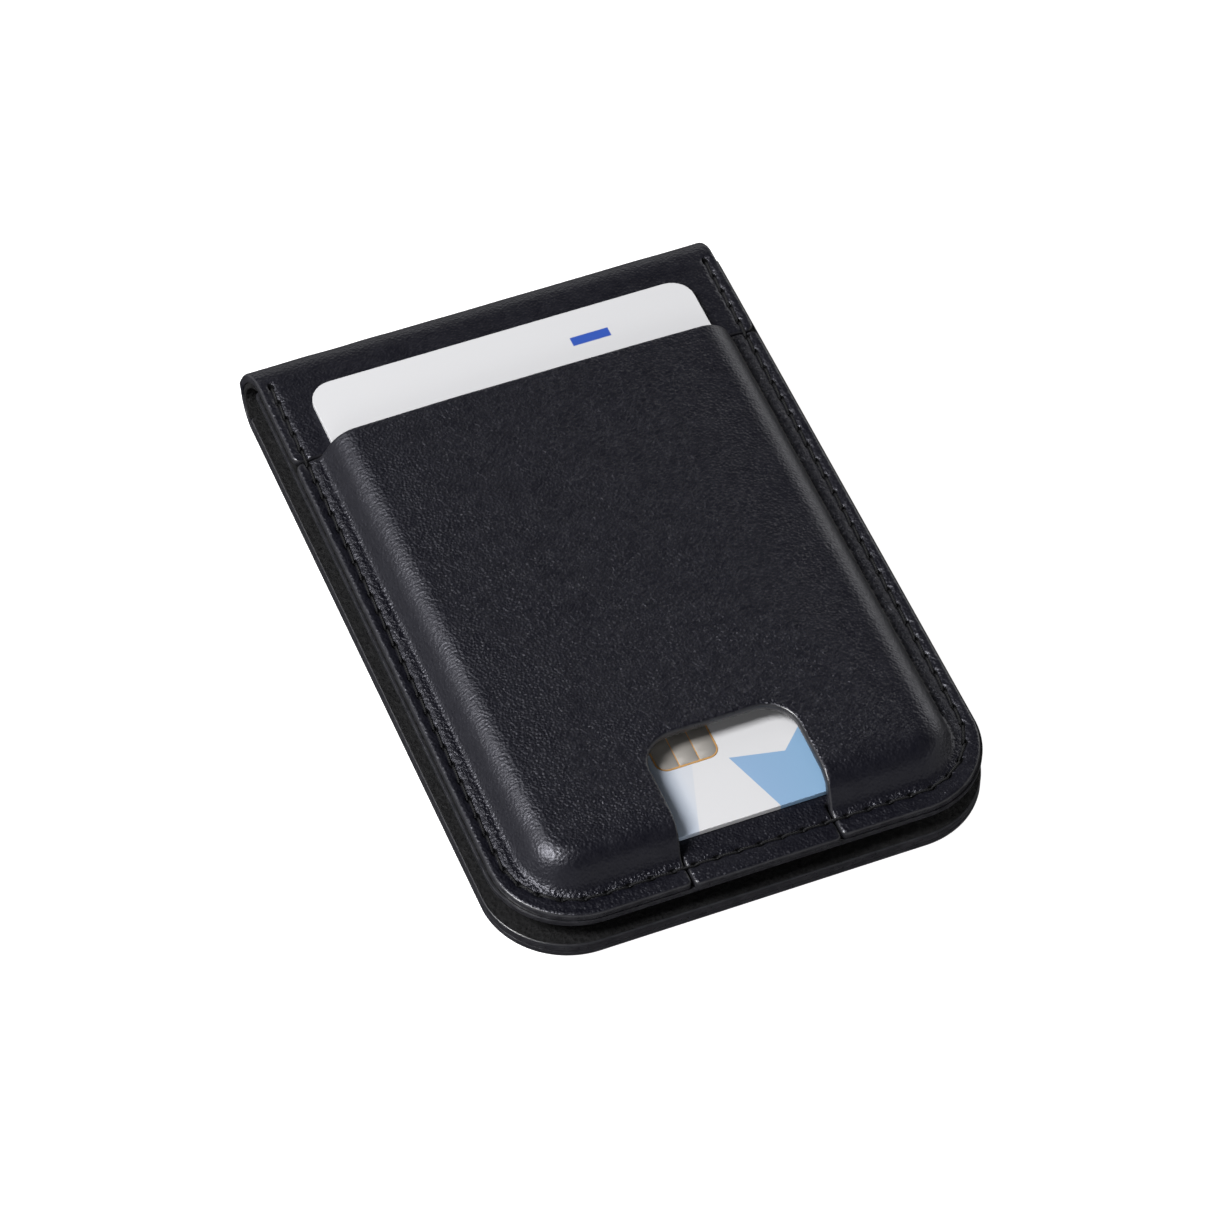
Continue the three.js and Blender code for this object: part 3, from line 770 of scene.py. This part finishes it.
def stitch_run(name, surface, up, thread, node):
    """Every stitch is a short bar of thread whose ends go down into two holes."""
    points, faces = [], []
    for i in range(STITCHES):
        (ax, ay), a_way = stitch_marks[i]
        (bx, by), b_way = stitch_marks[i + 1]
        start = np.array([ax - a_way[1] * THREAD_SLANT, ay + a_way[0] * THREAD_SLANT])
        end = np.array([bx + b_way[1] * THREAD_SLANT, by - b_way[0] * THREAD_SLANT])
        along = end - start
        along_unit = along / np.linalg.norm(along)
        side = np.array([-along_unit[1], along_unit[0], 0])
        centres = np.array([
            (*(start + along * (0.03 + 0.94 * share)), surface + up * (height - THREAD_SINK))
            for share, height in STITCH_PROFILE])
        first = len(points)
        for k, centre in enumerate(centres):
            before, after = centres[max(k - 1, 0)], centres[min(k + 1, len(centres) - 1)]
            tangent = (after - before) / np.linalg.norm(after - before)
            normal = np.cross(side, tangent)
            for s in range(THREAD_SIDES):
                a = 2 * math.pi * s / THREAD_SIDES
                points.append(centre + THREAD_RADIUS * (math.cos(a) * side + math.sin(a) * normal))
        for k in range(len(centres) - 1):
            for s in range(THREAD_SIDES):
                t = (s + 1) % THREAD_SIDES
                a, b = first + k * THREAD_SIDES, first + (k + 1) * THREAD_SIDES
                faces.append((a + s, b + s, b + t, a + t))
        last = first + (len(centres) - 1) * THREAD_SIDES
        faces.append(tuple(first + s for s in range(THREAD_SIDES)))
        faces.append(tuple(last + s for s in reversed(range(THREAD_SIDES))))
    piece = make_object(name, tilted(np.array(points)), faces, [thread], sharp=60)
    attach(piece, "front_leaf")
    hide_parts(node)


# ---- Card ---------------------------------------------------------------------------------

CARD_RADIUS, CHIP_RADIUS = 3.18, 1.6
CARD_EDGE = ((0, .07), (.02, .02), (.07, 0))


def make_card(plastic):
    """A plain card with a bed sunk for the contact plate."""
    outline = rounded([
        (card_high[0], card_high[1], CARD_RADIUS), (card_low[0], card_high[1], CARD_RADIUS),
        (card_low[0], card_low[1], CARD_RADIUS), (card_high[0], card_low[1], CARD_RADIUS)], 0.8)
    chip_middle = (chip_low + chip_high) / 2
    chip_half = (chip_high - chip_low) / 2
    bed = 0.04

    def top(x, y):
        across = np.abs(x - chip_middle[0]) - chip_half[0] + CHIP_RADIUS
        along = np.abs(y - chip_middle[1]) - chip_half[1] + CHIP_RADIUS
        reach = np.hypot(np.maximum(across, 0), np.maximum(along, 0)) + \
            np.minimum(np.maximum(across, along), 0)
        return np.where(reach < CHIP_RADIUS + bed, chip_low[2] - 0.02, card_high[2])

    lines = [rounded([
        (chip_high[0] + g, chip_high[1] + g, CHIP_RADIUS + g),
        (chip_low[0] - g, chip_high[1] + g, CHIP_RADIUS + g),
        (chip_low[0] - g, chip_low[1] - g, CHIP_RADIUS + g),
        (chip_high[0] + g, chip_low[1] - g, CHIP_RADIUS + g)], 0.25) for g in (0.01, 0.08)]
    piece = slab("card_plastic_body", outline, top, lambda x, y: np.full(len(x), card_low[2]),
                 [plastic], front_place, edge=CARD_EDGE, low_edge=CARD_EDGE,
                 inner=np.concatenate(lines), painted=-1, sharp=12)
    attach(piece, "card")
    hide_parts("card_body")


def make_contacts(metal):
    """Raised contact pads on the plate: three columns, each cut in two."""
    rim = 0.22
    low, high = chip_low + rim, chip_high - rim
    gap, radius, small, floor = 0.14, 1.3, 0.15, chip_high[2] - 0.01
    width = (high[0] - low[0] - 2 * gap) / 3
    height = (high[1] - low[1] - gap) / 2
    for column in range(3):
        for row in range(2):
            x, y = low[0] + column * (width + gap), low[1] + row * (height + gap)
            left, right = (radius if column == 0 else small), (radius if column == 2 else small)
            corners = [
                (x + width, y + height, right if row else small),
                (x, y + height, left if row else small),
                (x, y, small if row else left), (x + width, y, small if row else right)]
            piece = slab(f"card_contact_{column + 1}_{row + 1}", rounded(corners, 0.3),
                         lambda a, b: np.full(len(a), floor + 0.04),
                         lambda a, b: np.full(len(a), floor), [metal], front_place,
                         edge=((0, .015), (.02, 0)), low_edge=((0, 0), (.02, 0)), painted=-1)
            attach(piece, "card")


# ---- Materials ----------------------------------------------------------------------------

class Tree:
    """A material's nodes, added one by one."""

    def __init__(self, name):
        self.material = bpy.data.materials.new(name)
        self.material.use_nodes = True
        self.tree = self.material.node_tree
        self.shader = self.tree.nodes["Principled BSDF"]
        self.place = self.add("ShaderNodeTexCoord").outputs["Object"]

    def add(self, kind, values=(), **settings):
        node = self.tree.nodes.new(kind)
        for key, value in settings.items():
            setattr(node, key, value)
        for key, value in dict(values).items():
            self.put(node.inputs[key], value)
        return node

    def put(self, socket, value):
        if isinstance(value, bpy.types.NodeSocket):
            self.tree.links.new(value, socket)
        else:
            socket.default_value = value

    def scaled(self, scale):
        """Object coordinates in millimetres times a scale for each axis."""
        scale = (scale,) * 3 if isinstance(scale, (int, float)) else scale
        factors = [s / MM for s in scale]
        return self.add("ShaderNodeMapping", {"Vector": self.place, "Scale": factors}).outputs[0]

    def noise(self, scale, detail=3, rough=0.5, distortion=0):
        return self.add("ShaderNodeTexNoise", {
            "Vector": self.scaled(scale), "Scale": 1, "Detail": detail, "Roughness": rough,
            "Distortion": distortion}).outputs["Fac"]

    def cells(self, scale):
        return self.add("ShaderNodeTexVoronoi", {
            "Vector": self.scaled(scale), "Scale": 1, "Randomness": 1, "Smoothness": 0.5},
            feature="SMOOTH_F1").outputs["Distance"]

    def math(self, operation, a, b):
        return self.add("ShaderNodeMath", {0: a, 1: b}, operation=operation).outputs[0]

    def range(self, value, low, high, to_low=0.0, to_high=1.0):
        return self.add("ShaderNodeMapRange", {
            "Value": value, "From Min": low, "From Max": high, "To Min": to_low,
            "To Max": to_high}).outputs[0]

    def colour(self, share, first, second):
        return self.add("ShaderNodeMix", {"Factor": share, "A": (*first, 1), "B": (*second, 1)},
                        data_type="RGBA").outputs["Result"]

    def bump(self, height, distance, strength=1.0, normal=None):
        values = {"Height": height, "Distance": distance * MM, "Strength": strength}
        if normal is not None:
            values["Normal"] = normal
        return self.add("ShaderNodeBump", values).outputs[0]

    def attribute(self, name):
        return self.add("ShaderNodeAttribute", attribute_name=name).outputs["Fac"]

    def finish(self, **values):
        for key, value in values.items():
            self.put(self.shader.inputs[key.replace("_", " ")], value)
        return self.material


def leather_material():
    """Fine pebble grain that is pulled smooth and streaky where the leather is stretched."""
    t = Tree("black_leather_grain")
    stretch, pulled, crinkle = (t.attribute(name) for name in ("stretch", "pulled", "crinkle"))
    pebble = t.math("ADD", t.math("MULTIPLY", t.cells(2.5), 0.8),
                    t.math("MULTIPLY", t.noise(4.2, 4), 0.5))
    pebble_share = t.range(stretch, 0, 1, 1.0, 0.4)
    streak = t.noise((1.0, 3.2, 1.4), 4, 0.6, 0.6)
    creases = t.noise(1.25, 5, 0.62, 1.2)
    height = t.math("MULTIPLY", pebble, pebble_share)
    height = t.math("ADD", height, t.math("MULTIPLY", t.math("MULTIPLY", streak, pulled), 0.5))
    height = t.math("ADD", height, t.math("MULTIPLY", t.math("MULTIPLY", creases, crinkle), 1.4))
    normal = t.bump(t.noise(0.07, 3), 0.3, 0.5)
    normal = t.bump(height, 0.15, 1.0, normal)
    tone = t.colour(t.range(t.noise(0.35, 6, 0.6), 0.35, 0.65), (0.0016, 0.0016, 0.0034),
                    (0.0032, 0.0032, 0.0054))
    rough = t.math("ADD", t.range(t.noise(0.9, 5), 0.3, 0.7, 0.27, 0.36),
                   t.math("MULTIPLY", pebble, 0.06))
    rough = t.math("ADD", rough, t.math("MULTIPLY", stretch, 0.04))
    return t.finish(Base_Color=tone, Roughness=rough, Normal=normal, Specular_IOR_Level=0.38,
                    Specular_Tint=(0.9, 0.9, 1, 1))


def paint_material():
    """Burnished and painted cut edge: smoother and a little lighter than the grain."""
    t = Tree("painted_leather_edge")
    normal = t.bump(t.noise((1.2, 1.2, 3.5), 4), 0.05, 0.8)
    tone = t.colour(t.range(t.noise(0.8, 5), 0.35, 0.65), (0.006, 0.006, 0.008),
                    (0.012, 0.012, 0.0145))
    rough = t.range(t.noise(2.0, 4), 0.3, 0.7, 0.26, 0.38)
    return t.finish(Base_Color=tone, Roughness=rough, Normal=normal, Specular_IOR_Level=0.5)


def suede_material():
    """Dark napped lining, dull and fibrous."""
    t = Tree("dark_suede_nap")
    fibres = t.math("ADD", t.noise(2.6, 8, 0.7, 1.5), t.math("MULTIPLY", t.cells(1.6), 0.8))
    normal = t.bump(fibres, 0.3, 1.0)
    tone = t.colour(t.range(fibres, 0.5, 1.2), (0.0008, 0.0008, 0.001), (0.005, 0.005, 0.0055))
    rough = t.range(t.noise(1.1, 4), 0.3, 0.7, 0.5, 0.75)
    return t.finish(Base_Color=tone, Roughness=rough, Normal=normal, Specular_IOR_Level=0.18)


def hole_shade_material():
    """Stitch holes painted almost black with a dull finish: painted shade for the shadow down in the
    holes.
    """
    t = Tree("stitch_hole_painted_shade")
    fibres = t.noise(5, 4)
    # The near-black colours are painted shade in the holes; the noise only speckles them.
    return t.finish(Base_Color=t.colour(fibres, (0.0008, 0.0008, 0.001), (0.003, 0.003, 0.0034)),
                    Roughness=t.range(fibres, 0.3, 0.7, 0.8, 0.95), Normal=t.bump(fibres, 0.05, 0.6),
                    Specular_IOR_Level=0.04)


def thread_material():
    """Waxed three-strand polyester: fine slanting strands."""
    t = Tree("black_waxed_thread")
    strands = t.add("ShaderNodeTexWave", {
        "Vector": t.scaled((1, 1, 0.6)), "Scale": 1.9, "Distortion": 0.4}, bands_direction="DIAGONAL")
    normal = t.bump(strands.outputs["Fac"], 0.07, 0.9)
    tone = t.colour(strands.outputs["Fac"], (0.002, 0.002, 0.0024), (0.006, 0.006, 0.007))
    return t.finish(Base_Color=tone, Roughness=t.range(t.noise(3, 3), 0.3, 0.7, 0.5, 0.65),
                    Normal=normal, Specular_IOR_Level=0.2)


def board_material():
    """Brown pressed board with a long grain."""
    t = Tree("pressed_fibre_board")
    grain = t.noise((0.6, 3.0, 3.0), 6, 0.6)
    tone = t.colour(grain, (0.10, 0.08, 0.06), (0.22, 0.18, 0.14))
    return t.finish(Base_Color=tone, Roughness=t.range(grain, 0.3, 0.7, 0.75, 0.92),
                    Normal=t.bump(grain, 0.05, 0.7))


def metal_material(name, dark, light, rough, scale, metallic=1.0):
    """Plated or rolled metal with fine marks along its length."""
    t = Tree(name)
    marks = t.noise(scale, 5, 0.55)
    return t.finish(Base_Color=t.colour(marks, dark, light), Metallic=metallic,
                    Roughness=t.range(marks, 0.3, 0.7, rough, rough + 0.14),
                    Normal=t.bump(marks, 0.01, 0.6))


def card_material():
    """Satin white laminate with slanted facets in pale blue and one plain blue bar; the left facet's
    pale blue is strongest beside the notch's left side and fades towards the middle.
    """
    t = Tree("card_printed_laminate")
    axes = t.add("ShaderNodeSeparateXYZ", {0: t.scaled(1)})
    x, y = axes.outputs[0], axes.outputs[1]

    def side_of(x0, y0, x1, y1):
        """Positive to the right of the line from the first point to the second."""
        across = t.math("MULTIPLY", t.math("SUBTRACT", x, x0), y1 - y0)
        along = t.math("MULTIPLY", t.math("SUBTRACT", y, y0), x1 - x0)
        return t.math("SUBTRACT", across, along)

    def soft(value):
        return t.range(value, -0.25, 0.25)

    fleck = t.noise(2.0, 3)
    # The facets' straight sides, each through two points in millimetres.
    right = t.math("MULTIPLY", soft(side_of(4.4, -43.2, 1.2, -33.9)), t.math(
        "MAXIMUM", soft(side_of(1.2, -33.9, 8.2, -35.4)), soft(side_of(8.2, -35.4, 12.5, -31.2))))
    left = soft(side_of(-3.6, -33.6, -6.6, -43.2))
    printed_end = t.range(y, -20, -19, 1.0, 0.0)
    white, pale, blue = (0.4, 0.4, 0.41), (0.24, 0.295, 0.38), (0.14, 0.235, 0.35)
    tone = t.colour(fleck, white, tuple(c * 0.985 for c in white))
    # The left facet is bluest beside the notch's left side and fades to a quarter by x = -5 mm.
    left_facet_fade = t.math("MULTIPLY", t.math("MULTIPLY", left, printed_end), t.range(x, -9.5, -5.0, 1.0, 0.25))
    right = t.math("MULTIPLY", right, printed_end)
    tone = t.add("ShaderNodeMix", {"Factor": left_facet_fade, "A": tone, "B": (*pale, 1)}, data_type="RGBA")
    shade = t.colour(t.range(x, 2.0, 10.5), (0.155, 0.24, 0.355), blue)
    tone = t.add("ShaderNodeMix", {"Factor": right, "A": tone.outputs["Result"], "B": shade},
                 data_type="RGBA")
    bar = t.math("MULTIPLY", t.range(y, 36.5, 36.6), t.range(y, 38.0, 38.1, 1.0, 0.0))
    bar = t.math("MULTIPLY", bar, t.math("MULTIPLY", t.range(x, 8.5, 8.6),
                                         t.range(x, 13.9, 14.0, 1.0, 0.0)))
    tone = t.add("ShaderNodeMix", {"Factor": bar, "A": tone.outputs["Result"],
                                   "B": (0.02, 0.055, 0.26, 1)}, data_type="RGBA")
    return t.finish(Base_Color=tone.outputs["Result"], Roughness=t.range(fleck, 0.3, 0.7, 0.3, 0.4),
                    Normal=t.bump(t.noise(6, 2), 0.004, 0.4), Coat_Weight=0.25, Coat_Roughness=0.25)


# ---- Setting ------------------------------------------------------------------------------

def make_floor():
    t = Tree("pale_floor")
    tone = t.colour(t.noise(0.004, 2), (0.40, 0.40, 0.40), (0.42, 0.42, 0.42))
    t.finish(Base_Color=tone, Roughness=0.9, Emission_Color=(1, 1, 1, 1), Emission_Strength=0.96)
    half = 1.5
    mesh = bpy.data.meshes.new("floor")
    mesh.from_pydata([(-half, -half, -2e-5), (half, -half, -2e-5), (half, half, -2e-5),
                      (-half, half, -2e-5)], [], [(0, 1, 2, 3)])
    mesh.materials.append(t.material)
    floor = bpy.data.objects.new("floor", mesh)
    bpy.context.scene.collection.objects.link(floor)
    floor.visible_glossy = False


def softbox(name, place, size, power, in_gloss=True):
    """A rectangular light aimed at the holder's middle; in_gloss off keeps it out of reflections."""
    data = bpy.data.lights.new(name, "AREA")
    data.shape = "RECTANGLE"
    data.size, data.size_y = size
    data.energy = power
    light = bpy.data.objects.new(name, data)
    bpy.context.scene.collection.objects.link(light)
    light.location = place
    aim = Vector((0, 0, 0.005)) - Vector(place)
    light.rotation_euler = aim.to_track_quat("-Z", "Y").to_euler()
    light.visible_glossy = in_gloss


HORIZON_LIGHT, ZENITH_LIGHT, GROUND_LIGHT = 0.8, 0.015, 0.05


def make_world():
    """A white tent: pale round the horizon, dark overhead and below."""
    world = bpy.data.worlds.new("studio")
    world.use_nodes = True
    tree = world.node_tree
    split = tree.nodes.new("ShaderNodeSeparateXYZ")
    tree.links.new(tree.nodes.new("ShaderNodeTexCoord").outputs["Generated"], split.inputs[0])
    strength = tree.nodes.new("ShaderNodeMath")
    strength.operation = "MULTIPLY"
    for slot, limits in enumerate(((0.1, 0.55, HORIZON_LIGHT, ZENITH_LIGHT),
                                   (-0.3, -0.08, GROUND_LIGHT / HORIZON_LIGHT, 1))):
        part = tree.nodes.new("ShaderNodeMapRange")
        part.interpolation_type = "SMOOTHSTEP"
        for key, value in zip(("From Min", "From Max", "To Min", "To Max"), limits):
            part.inputs[key].default_value = value
        tree.links.new(split.outputs["Z"], part.inputs["Value"])
        tree.links.new(part.outputs[0], strength.inputs[slot])
    background = tree.nodes["Background"]
    background.inputs["Color"].default_value = (1, 1, 1, 1)
    tree.links.new(strength.outputs[0], background.inputs["Strength"])
    bpy.context.scene.world = world


def make_studio():
    make_world()
    bpy.context.scene.view_settings.view_transform = "Standard"
    softbox("key", (-0.63, 0.0, 0.78), (0.34, 0.42), 22)
    softbox("left_strip", (-0.45, 0.59, 0.67), (0.1, 0.6), 1.3)
    softbox("right_strip", (0.79, 0.46, 0.27), (0.6, 0.3), 1.6)
    softbox("front_fill", (-0.2, -0.85, 0.5), (0.6, 0.3), 3, in_gloss=False)


# ---- Making it ----------------------------------------------------------------------------

def finish_cad_pieces(gold):
    """Gives the CAD pieces that stay in view, or inside the leaves, their own materials."""
    nickel = metal_material("nickel_plate", (0.5, 0.5, 0.48), (0.66, 0.66, 0.64), 0.24, 2.5)
    steel = metal_material("rolled_steel", (0.3, 0.31, 0.33), (0.45, 0.46, 0.48), 0.34, (0.4, 5, 5))
    finishes = {"magnet_board": board_material(), "front_shield_plate": steel,
                "card_contact_plate": gold}
    for name, node in nodes.items():
        if name.startswith("magnet_arc") or name == "alignment_magnet":
            finishes[name] = nickel
        if name in finishes:
            node.data.materials.clear()
            node.data.materials.append(finishes[name])


def make_holder():
    leather, paint, suede = leather_material(), paint_material(), suede_material()
    # The stitch holes get a near-black, dull material: painted shade in the holes.
    thread, pit = thread_material(), hole_shade_material()
    make_pocket(leather, paint, pit)
    make_wrap(leather, paint, pit)
    make_back(leather, paint)
    make_under(suede, paint)
    make_back_lining(suede, paint)
    make_fold_linings(suede)
    stitch_run("stitches_top", FRONT_TOP, 1, thread, "stitch_top_thread")
    stitch_run("stitches_under", UNDER_FLOOR, -1, thread, "stitch_under_thread")
    make_card(card_material())
    gold = metal_material("contact_gold_rim", (0.5, 0.26, 0.09), (0.66, 0.38, 0.14), 0.3,
                          (1, 4, 4), 0.5)
    make_contacts(metal_material("contact_pads", (0.214, 0.2, 0.184), (0.247, 0.234, 0.218), 0.4,
                                 (1, 6, 4), 0.25))
    finish_cad_pieces(gold)


make_floor()
make_studio()
make_holder()
